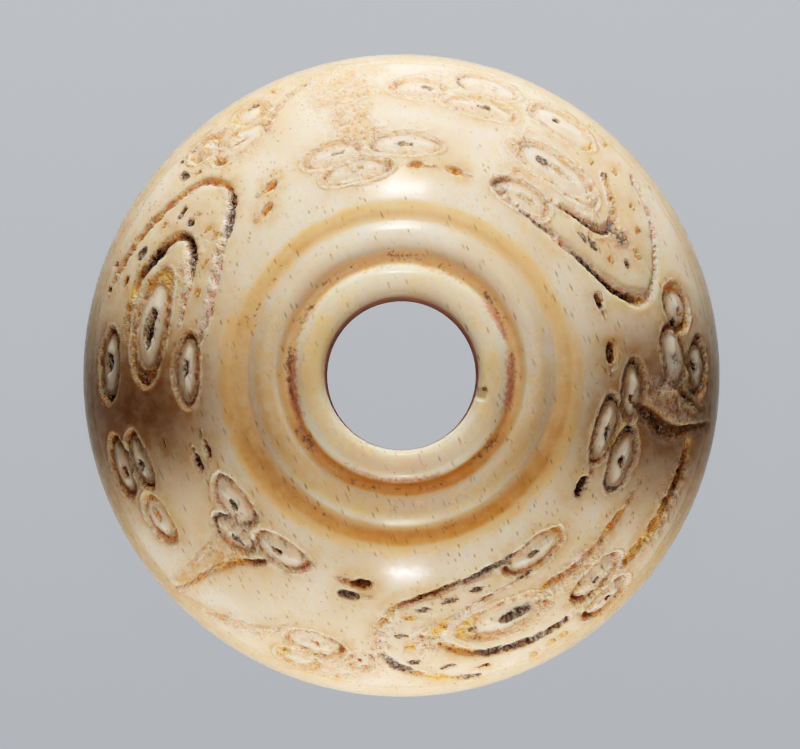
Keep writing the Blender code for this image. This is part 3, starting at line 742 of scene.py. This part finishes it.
# Clumps of dirt in the turned rings, in the same way.
RING_DIRT = (
    (88, 13, 5.02, 0.30, 0.78),
    (64, 14, 4.92, 0.30, 0.50),
    (36, 16, 4.95, 0.34, 0.72),
    (5, 20, 4.80, 0.32, 0.45),
    (122, 16, 5.05, 0.26, 0.45),
    (148, 14, 4.85, 0.34, 0.75),
    (180, 24, 4.84, 0.30, 0.80),
    (214, 11, 4.98, 0.34, 0.85),
    (240, 16, 5.02, 0.30, 0.55),
    (262, 16, 5.00, 0.28, 0.60),
    (288, 16, 5.00, 0.30, 0.34),
    (318, 14, 4.92, 0.32, 0.70),
    (349.5, 1.7, 3.60, 0.20, 1.7),
    (150, 24, 7.00, 0.50, 0.34),
    (236, 24, 6.95, 0.50, 0.30),
    (290, 24, 6.95, 0.50, 0.30),
)
# A chip in the lip of the hole: azimuth, half the span, radius where it ends, depth.
CHIP_GONE = (345.5, 5.0, 3.80, 0.16)
# How far down the dome the rim's brown stain fades in, and what is left of it at the underside.
RIM_FADE = (7.7, 8.4)
UNDER_STAIN = 0.35
# How slowly the marks of the lathe change round the axis, against across it.
LATHE_ALONG = 0.9
RIM_STAIN = (0.6, 0.9, 0.85, 0.75, 0.9, 1.1, 1.3, 1.4, 0.90, 0.65, 1.0, 1.6)
# Painted shade, brown, on the flanks of the rings round those sides, and the radii between which it
# fades in and out.
RING_SHADE = (0.80, 0.1, 0.0, 0.0, 0.0, 0.2, 0.85, 1.0, 0.25, 0.0, 0.25, 0.9)
RING_SHADE_BAND = (4.8, 5.4, 7.1, 8.0)
RING_SHADE_MOST = 0.30


# Painted shade: the two sides the lamps miss made darker brown, on the dome and on the rings'
# flanks.
def side_shade(azimuth, down, radius, height):
    amount = np.zeros_like(azimuth)
    for centre, span in SIDE_SHADE:
        turn = turned_from(azimuth, centre)
        amount = np.maximum(amount, smooth(1.0 - turn / span))
    ringed = RING_SHADE_MOST * around(azimuth, RING_SHADE) * (height > RINGS_HEIGHT)
    ringed = ringed * smooth(np.interp(radius, RING_SHADE_BAND, (0.0, 1.0, 1.0, 0.0)))
    return np.maximum(amount * np.interp(down, *SIDE_SHADE_DOWN), ringed)


def stains(azimuth, radius, height):
    top = height > UPPER_HEIGHT
    stain = np.zeros_like(radius)
    for strengths, start, full, until, end, most in STAIN_RINGS:
        ramp = np.interp(radius, (start, full, until, end), (0.0, 1.0, 1.0, 0.0))
        stain = np.maximum(stain, most * smooth(ramp) * around(azimuth, strengths) * top)
    blush = np.zeros_like(radius)
    for centre, span, middle, width, most in BLUSH_SPOTS:
        turn = turned_from(azimuth, centre)
        spot = smooth(1.5 * (1.0 - turn / span)) * smooth(1.0 - np.abs(radius - middle) / width)
        blush = np.maximum(blush, most * spot * top)
    return stain, blush


def whorl_mesh():
    rows = rings()
    azimuth = np.concatenate([np.arange(n) * 360.0 / n for _, _, _, n in rows])
    radius, height, down = (
        np.concatenate([np.full(row[3], row[k]) for row in rows]) for k in (0, 1, 2)
    )
    on = down >= 0
    dirt = np.zeros((len(radius), 3))
    depth, cover, halo, bevel, edge, lit_crown = (np.zeros_like(radius) for _ in range(6))
    found = carve(azimuth[on], down[on], radius[on], height[on])
    depth[on], cover[on], dirt[on], halo[on], bevel[on], edge[on], lit_crown[on] = found
    centre, span, end, chipped = CHIP_GONE
    turn = turned_from(azimuth, centre)
    chip = smooth(1.8 * (1.0 - turn / span)) * smooth((end - radius) / 0.25)
    chip *= height > LIP_HEIGHT
    depth = np.maximum(depth, chipped * chip)
    rise = height - RIM_HEIGHT
    outward = np.where(on, radius / OUTER_RADIUS**2, 0.0)
    upward = np.where(on, rise / DOME_RISE**2, 1.0)
    size = np.hypot(outward, upward)
    r = radius - depth * outward / size
    z = height - depth * upward / size
    angle = np.radians(azimuth)
    share = SPREAD_ALONG_X + (SPREAD_ALONG_Y - SPREAD_ALONG_X) * np.sin(angle) ** 2
    r = r * (1.0 + share * smooth((r - SPREAD_START) / (OUTER_RADIUS - SPREAD_START)))
    points = np.column_stack([r * np.cos(angle), r * np.sin(angle), z]) * MM
    mesh = bpy.data.meshes.new("carved_whorl")
    mesh.from_pydata(points.tolist(), [], [tuple(int(v) for v in f) for f in grid_faces(rows)])
    turned = np.column_stack([LATHE_ALONG * np.cos(angle), LATHE_ALONG * np.sin(angle), radius])
    layer = mesh.attributes.new("turned", "FLOAT_VECTOR", "POINT")
    layer.data.foreach_set("vector", turned.astype(np.float32).ravel())
    stain, blush = stains(azimuth, radius, height)
    rim = np.interp(down, RIM_FADE, (0.0, 1.0))
    under = ~on & (radius > DOME_TOP_RADIUS) & (height < RIM_HEIGHT)
    rim = np.where(under, np.interp(height, (0.0, RIM_HEIGHT), (UNDER_STAIN, 1.0)), rim)
    rim = rim * around(azimuth, RIM_STAIN)
    bore = np.where((radius < BORE_WALL_REACH) & (height > BORE_CHAMFER / 2), 1.0, 0.0)
    pitted = np.zeros_like(radius)
    for centre, span, middle, width, most in RING_DIRT:
        turn = turned_from(azimuth, centre)
        spot = smooth(1.6 * (1.0 - turn / span))
        spot *= smooth(1.2 * (1.0 - np.abs(radius - middle) / width))
        pitted = np.maximum(pitted, most * spot * (height > UPPER_HEIGHT))
    for name, values in (
        ("rust", dirt[:, 0]), ("grime", dirt[:, 1]), ("grain", dirt[:, 2]), ("cover", cover),
        ("stain", stain), ("blush", blush), ("pores", around(azimuth, PORES)),
        ("side_shade", side_shade(azimuth, down, radius, height)), ("halo", halo), ("bevel", bevel),
        ("rim", rim), ("edge", edge), ("lit_crown", lit_crown), ("bore", bore), ("pitted", pitted),
    ):
        layer = mesh.attributes.new(name, "FLOAT", "POINT")
        layer.data.foreach_set("value", values.astype(np.float32))
    mesh.shade_smooth()
    mesh.update()
    return mesh


# ---- material
CREAM = (0.83, 0.70, 0.55)
IVORY = (0.87, 0.78, 0.66)
HONEY = (0.88, 0.635, 0.345)
STRAW = (0.72, 0.53, 0.30)
GLINT_CHIP = (0.90, 0.80, 0.68)
ORANGE = (0.78, 0.43, 0.13)
SHADE_UMBER = (0.27, 0.13, 0.05)
TAN = (0.74, 0.50, 0.28)
ROSE = (0.68, 0.36, 0.27)
RAW = (0.80, 0.58, 0.42)
SCRAPED_HIGHLIGHT = (0.96, 0.91, 0.84)
AMBER = (0.88, 0.62, 0.28)
RUST = (0.40, 0.18, 0.05)
SOOT = (0.035, 0.018, 0.009)
SMUT = (0.17, 0.085, 0.03)
ASH = (0.50, 0.44, 0.37)
CINDER = (0.17, 0.13, 0.10)
LIT_PEARL = (0.88, 0.77, 0.65)
SPECK = (0.34, 0.25, 0.18)
BORE_WALL = (0.95, 0.66, 0.54)
CANAL = (0.36, 0.24, 0.13)
CANAL_WAY = (-0.37, 0.93, 0.05)


class Graph:
    """A few short ways to add nodes to a material."""

    def __init__(self, material):
        self.nodes, self.links = material.node_tree.nodes, material.node_tree.links

    def put(self, socket, value):
        if isinstance(value, bpy.types.NodeSocket):
            self.links.new(value, socket)
        elif isinstance(value, tuple) and len(value) == 3 and socket.type == "RGBA":
            socket.default_value = (*value, 1.0)
        else:
            socket.default_value = value

    def attribute(self, name, output="Fac"):
        node = self.nodes.new("ShaderNodeAttribute")
        node.attribute_name = name
        return node.outputs[output]

    def math(self, operation, a, b=0.0, c=0.0):
        node = self.nodes.new("ShaderNodeMath")
        node.operation = operation
        for socket, value in zip(node.inputs, (a, b, c)):
            self.put(socket, value)
        return node.outputs[0]

    def ramp(self, value, low, high, out_low=0.0, out_high=1.0):
        node = self.nodes.new("ShaderNodeMapRange")
        node.interpolation_type = "SMOOTHSTEP"
        for name, given in (("Value", value), ("From Min", low), ("From Max", high),
                            ("To Min", out_low), ("To Max", out_high)):
            self.put(node.inputs[name], given)
        return node.outputs[0]

    def ragged(self, value, *roughened):
        """A value with noises added to it, each given with its strength."""
        for noise, amount in roughened:
            value = self.math("MULTIPLY_ADD", self.math("SUBTRACT", noise, 0.5), amount, value)
        return value

    def mix(self, share, a, b):
        node = self.nodes.new("ShaderNodeMix")
        node.data_type = "RGBA"
        self.put(node.inputs["Factor"], share)
        self.put(node.inputs["A"], a)
        self.put(node.inputs["B"], b)
        return node.outputs["Result"]

    def mapping(self, where, scale, rotation=(0.0, 0.0, 0.0), location=(0.0, 0.0, 0.0)):
        node = self.nodes.new("ShaderNodeMapping")
        self.links.new(where, node.inputs["Vector"])
        node.inputs["Scale"].default_value = scale
        node.inputs["Rotation"].default_value = rotation
        node.inputs["Location"].default_value = location
        return node.outputs[0]

    def noise(self, where, scale, detail=2.0, roughness=0.55):
        node = self.nodes.new("ShaderNodeTexNoise")
        self.links.new(where, node.inputs["Vector"])
        node.inputs["Scale"].default_value = scale
        node.inputs["Detail"].default_value = detail
        node.inputs["Roughness"].default_value = roughness
        return node.outputs["Fac"]

    def canals(self, where, size, low, high, rare):
        """Short dashes, one in each cell of a grid, the rare share of them left out."""
        node = self.nodes.new("ShaderNodeTexVoronoi")
        self.links.new(where, node.inputs["Vector"])
        node.inputs["Scale"].default_value = size
        dash = self.ramp(node.outputs["Distance"], low, high, 1.0, 0.0)
        return self.math("MULTIPLY", dash, self.ramp(node.outputs["Color"], rare, rare + 0.35))


def bone_material():
    material = bpy.data.materials.new("polished_bone")
    material.use_nodes = True
    g = Graph(material)
    shader = g.nodes["Principled BSDF"]
    place = g.nodes.new("ShaderNodeTexCoord").outputs["Object"]
    mm = g.mapping(place, (1000.0, 1000.0, 1000.0))
    # The fibres and canals run along CANAL_WAY: turned onto X, then drawn out.
    turned = Vector(CANAL_WAY).rotation_difference(Vector((1, 0, 0))).to_euler("XYZ")
    fibre = g.mapping(g.mapping(mm, (1.0, 1.0, 1.0), tuple(turned)), (0.2, 1.0, 1.0))
    rust, grime, grain = g.attribute("rust"), g.attribute("grime"), g.attribute("grain")
    cover, stain, blush = g.attribute("cover"), g.attribute("stain"), g.attribute("blush")
    broad = g.noise(mm, 0.30, 1.0)
    mid = g.noise(mm, 1.6, 2.0, 0.6)
    fine = g.noise(mm, 5.5, 2.0, 0.65)
    crumb = g.noise(g.mapping(mm, (1.0, 1.0, 1.0), location=(7.3, 1.9, 4.1)), 6.6, 1.0, 0.6)
    streak = g.noise(fibre, 3.0, 2.0, 0.6)
    lathe = g.noise(g.attribute("turned", "Vector"), 6.0, 2.0, 0.65)

    colour = g.mix(g.ramp(broad, 0.35, 0.65), CREAM, IVORY)
    colour = g.mix(g.ramp(streak, 0.40, 0.85, 0.0, 0.35), colour, HONEY)
    colour = g.mix(g.ramp(fine, 0.40, 0.65, 0.0, 0.14), colour, HONEY)
    stained = g.ragged(stain, (mid, 0.7))
    stained = g.math("MULTIPLY", g.ramp(stained, 0.0, 0.55), g.ramp(stain, 0.0, 0.25))
    colour = g.mix(g.math("MULTIPLY", stained, 0.8), colour, HONEY)
    edge = g.math("MULTIPLY", g.attribute("rim"), g.ramp(mid, 0.3, 0.7, 0.45, 0.8))
    colour = g.mix(edge, colour, STRAW)
    soaked = g.math("MULTIPLY", g.attribute("halo"), g.ramp(mid, 0.35, 0.65, 0.30, 0.85))
    colour = g.mix(soaked, colour, TAN)
    deep = g.ragged(stain, (mid, 0.5))
    colour = g.mix(g.ramp(deep, 0.45, 1.15), colour, ORANGE)
    rosy = g.ragged(blush, (fine, 1.4))
    colour = g.mix(g.ramp(rosy, 0.25, 0.95, 0.0, 0.85), colour, ROSE)
    colour = g.mix(g.math("MULTIPLY", cover, g.ramp(mid, 0.3, 0.7, 0.45, 0.8)), colour, RAW)
    # Painted highlight: open slopes and bud outlines whitened, as scraped bone catching the light.
    scraped_highlight = g.math("MULTIPLY", g.attribute("bevel"), g.ramp(mid, 0.38, 0.58, 0.5, 1.0))
    colour = g.mix(scraped_highlight, colour, SCRAPED_HIGHLIGHT)
    gritty = g.math("MULTIPLY_ADD", fine, 0.65, g.math("MULTIPLY", crumb, 0.35))
    # Painted glints: small light specks on the rough cut areas, as chipped bone.
    glint_chips = g.math("MULTIPLY", cover, g.ramp(gritty, 0.52, 0.62))
    colour = g.mix(g.math("MULTIPLY", glint_chips, 0.8), colour, GLINT_CHIP)
    specks = g.math("MULTIPLY", cover, g.ramp(gritty, 0.48, 0.38))
    speck = g.mix(g.ramp(mid, 0.4, 0.6), SPECK, RUST)
    colour = g.mix(g.math("MULTIPLY", specks, 0.6), colour, speck)
    bare = g.math("SUBTRACT", 1.0, g.math("MULTIPLY", cover, 0.6))
    # Painted shade: darker brown over the sides the lamps miss.
    side_shaded = g.math("MULTIPLY", g.math("MULTIPLY", g.attribute("side_shade"), bare),
                     g.ramp(mid, 0.2, 0.8, 0.75, 0.95))
    colour = g.mix(side_shaded, colour, SHADE_UMBER)
    # Painted highlight: the bud tops turned a pale pearl colour, as if lit.
    colour = g.mix(g.math("MULTIPLY", g.attribute("lit_crown"), 0.62), colour, LIT_PEARL)
    rusty = g.ragged(rust, (mid, 0.9))
    rusty = g.math("MULTIPLY", g.ramp(rusty, 0.15, 0.95), g.ramp(rust, 0.0, 0.2))
    colour = g.mix(rusty, colour, g.mix(g.ramp(grime, 0.25, 0.6), AMBER, RUST))
    edged = g.ragged(g.attribute("edge"), (fine, 2.6), (crumb, 1.2))
    colour = g.mix(g.ramp(edged, 0.45, 1.05, 0.0, 0.70), colour, speck)
    ashy = g.ragged(grain, (fine, 1.5))
    ashy = g.math("MULTIPLY", g.ramp(ashy, 0.2, 0.8), g.ramp(grain, 0.0, 0.4))
    ash = g.mix(g.ramp(crumb, 0.40, 0.60), CINDER, ASH)
    colour = g.mix(g.math("MULTIPLY", ashy, 0.8), colour, ash)
    sooty = g.ragged(grime, (mid, 1.5), (fine, 1.8), (crumb, 1.6))
    sooty = g.math("MULTIPLY", g.ramp(sooty, 0.68, 1.02), g.ramp(grime, 0.05, 0.3))
    soot = g.mix(g.ramp(crumb, 0.50, 0.62), g.mix(g.ramp(fine, 0.42, 0.64), SMUT, SOOT), ASH)
    colour = g.mix(g.math("MULTIPLY", sooty, 0.92), colour, soot)

    pitted = g.attribute("pitted")
    pits = g.math("MULTIPLY", pitted, 0.6)
    pits = g.ragged(pits, (fine, 1.5), (mid, 1.1), (crumb, 0.9), (lathe, 0.8))
    pits = g.math("MULTIPLY", g.ramp(pits, 0.32, 0.85), g.ramp(pitted, 0.0, 0.25))
    clump = g.mix(g.ramp(crumb, 0.42, 0.58), g.mix(g.ramp(fine, 0.4, 0.6), SMUT, RUST), SPECK)
    colour = g.mix(g.math("MULTIPLY", pits, 0.85), colour, clump)
    bore = g.attribute("bore")
    colour = g.mix(g.math("MULTIPLY", bore, 0.85), colour, BORE_WALL)
    g.links.new(g.math("MULTIPLY_ADD", bore, -0.45, 0.5), shader.inputs["Specular IOR Level"])

    pores = g.attribute("pores")
    small = g.canals(g.mapping(fibre, (1.1, 1.0, 1.0)), 4.8, 0.08, 0.30, 0.30)
    apart = g.mapping(fibre, (1.5, 1.0, 1.0), location=(3.1, 5.7, 0.9))
    large = g.canals(apart, 2.3, 0.04, 0.17, 0.42)
    patchy = g.ramp(g.math("MULTIPLY_ADD", pores, 0.45, g.noise(mm, 0.9, 1.0)), 0.44, 0.72)
    clustered = g.ramp(g.math("MULTIPLY_ADD", pores, 0.30, mid), 0.66, 0.90)
    canals = g.math("MULTIPLY", small, g.math("MULTIPLY", patchy, g.ramp(mid, 0.3, 0.7, 0.45, 0.9)))
    canals = g.math("MAXIMUM", canals, g.math("MULTIPLY", large, clustered))
    colour = g.mix(g.math("MULTIPLY", canals, 0.72), colour, CANAL)
    g.links.new(colour, shader.inputs["Base Color"])

    matt = g.math("MAXIMUM", g.math("MULTIPLY", cover, 0.30), g.math("MULTIPLY", stain, 0.35))
    matt = g.math("MAXIMUM", matt, g.math("MULTIPLY", bore, 0.45))
    rough = g.math("ADD", matt, g.ramp(mid, 0.3, 0.7, 0.15, 0.23))
    g.links.new(rough, shader.inputs["Roughness"])
    height = g.math("MULTIPLY", fine, g.math("MULTIPLY_ADD", cover, 0.15, 0.003))
    height = g.math("MULTIPLY_ADD", g.math("MULTIPLY", crumb, cover), 0.14, height)
    bump = g.nodes.new("ShaderNodeBump")
    bump.inputs["Strength"].default_value = 1.0
    bump.inputs["Distance"].default_value = MM
    g.links.new(height, bump.inputs["Height"])
    g.links.new(bump.outputs[0], shader.inputs["Normal"])
    shader.inputs["IOR"].default_value = 1.55
    shader.inputs["Subsurface Weight"].default_value = 0.7
    shader.inputs["Subsurface Radius"].default_value = (1.0, 0.5, 0.25)
    shader.inputs["Subsurface Scale"].default_value = 0.0022
    return material


# ---- the stage
CAMERA_HEIGHT = 260.35  # from the origin, along the view
CAMERA_LEAN = 0.65  # degrees from straight down
CAMERA_LENS = 262.9
CAMERA_SENSOR = 36.0
CAMERA_SHIFT = (-0.00185, 0.0017)


def camera():
    lean = math.radians(CAMERA_LEAN)
    data = bpy.data.cameras.new("camera")
    data.lens = CAMERA_LENS
    data.sensor_width = CAMERA_SENSOR
    data.shift_x, data.shift_y = CAMERA_SHIFT
    data.clip_start = 0.01
    obj = bpy.data.objects.new("camera", data)
    obj.location = (0, -CAMERA_HEIGHT * MM * math.sin(lean), CAMERA_HEIGHT * MM * math.cos(lean))
    obj.rotation_euler = (lean, 0, 0)
    bpy.context.scene.collection.objects.link(obj)
    bpy.context.scene.camera = obj


def direction(azimuth, elevation):
    a, e = math.radians(azimuth), math.radians(elevation)
    return Vector((math.cos(e) * math.cos(a), math.cos(e) * math.sin(a), math.sin(e)))


def softbox(name, azimuth, elevation, size, power, glossy):
    light = bpy.data.lights.new(name, "AREA")
    light.shape = "RECTANGLE"
    light.size, light.size_y = size
    light.energy = power
    obj = bpy.data.objects.new(name, light)
    away = direction(azimuth, elevation)
    obj.location = away * LIGHT_DISTANCE
    obj.rotation_euler = (-away).to_track_quat("-Z", "Y").to_euler()
    obj.visible_camera = False
    obj.visible_glossy = glossy
    bpy.context.scene.collection.objects.link(obj)


LIGHT_DISTANCE = 0.45
# name, azimuth, elevation, (width, height) in metres, watts, whether it shows as a sheen
SOFTBOXES = (
    ("low_back", 90, 6, (0.26, 0.10), 2.08, False),
    ("low_front", 270, -3, (0.22, 0.10), 1.96, False),
    ("strip_back", 91, 44.5, (0.075, 0.013), 0.185, True),
    ("strip_front", 271, 42.0, (0.055, 0.013), 0.11, True),
    ("fill_front", 270, 48, (0.30, 0.20), 0.09, False),
    ("overhead", 90, 84, (0.50, 0.40), 0.80, True),
)
WORLD_STRENGTH = 0.02
FLOOR_SIZE = 4.0
# The floor's glow at its near and far side, and how far out in metres those lie.
FLOOR_GLOW = ((0.397, 0.408, 0.428, 1), (0.443, 0.455, 0.474, 1))
FLOOR_FADE = 0.018
# The contrast of the picture, as exposure in and exposure out.
TONE = ((0.0, 0.0), (0.05, 0.01), (0.1, 0.039), (0.2, 0.143), (0.3, 0.284), (0.4, 0.432),
        (0.5, 0.571), (0.6, 0.692), (0.8, 0.877), (1.0, 1.0))


def floor_material():
    material = bpy.data.materials.new("pale_floor")
    material.use_nodes = True
    nodes, links = material.node_tree.nodes, material.node_tree.links
    shader = nodes["Principled BSDF"]
    shader.inputs["Base Color"].default_value = (0.02, 0.02, 0.02, 1)
    shader.inputs["Specular IOR Level"].default_value = 0.0
    shader.inputs["Emission Strength"].default_value = 1.0
    where = nodes.new("ShaderNodeTexCoord")
    split = nodes.new("ShaderNodeSeparateXYZ")
    links.new(where.outputs["Object"], split.inputs[0])
    span = nodes.new("ShaderNodeMapRange")
    span.inputs["From Min"].default_value = -FLOOR_FADE
    span.inputs["From Max"].default_value = FLOOR_FADE
    links.new(split.outputs["Y"], span.inputs["Value"])
    tone = nodes.new("ShaderNodeMix")
    tone.data_type = "RGBA"
    tone.inputs["A"].default_value, tone.inputs["B"].default_value = FLOOR_GLOW
    links.new(span.outputs["Result"], tone.inputs["Factor"])
    links.new(tone.outputs["Result"], shader.inputs["Emission Color"])
    return material


def stage():
    bpy.ops.mesh.primitive_plane_add(size=FLOOR_SIZE, location=(0, 0, 0))
    floor = bpy.context.object
    floor.name = "floor"
    floor.data.materials.append(floor_material())
    floor.visible_shadow = False
    floor.visible_diffuse = False
    scene = bpy.context.scene
    world = bpy.data.worlds.new("world")
    world.use_nodes = True
    background = world.node_tree.nodes["Background"]
    background.inputs["Color"].default_value = (1.0, 1.0, 1.0, 1)
    background.inputs["Strength"].default_value = WORLD_STRENGTH
    scene.world = world
    for box in SOFTBOXES:
        softbox(*box)
    view = scene.view_settings
    view.view_transform = "Standard"
    view.use_curve_mapping = True
    curve = view.curve_mapping.curves[3]
    for x, y in TONE[1:-1]:
        curve.points.new(x, y)
    view.curve_mapping.update()


def main():
    mesh = whorl_mesh()
    mesh.materials.append(bone_material())
    whorl = bpy.data.objects.new("carved_whorl", mesh)
    bpy.context.scene.collection.objects.link(whorl)
    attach(whorl, "root")
    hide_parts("whorl")
    camera()
    stage()


main()
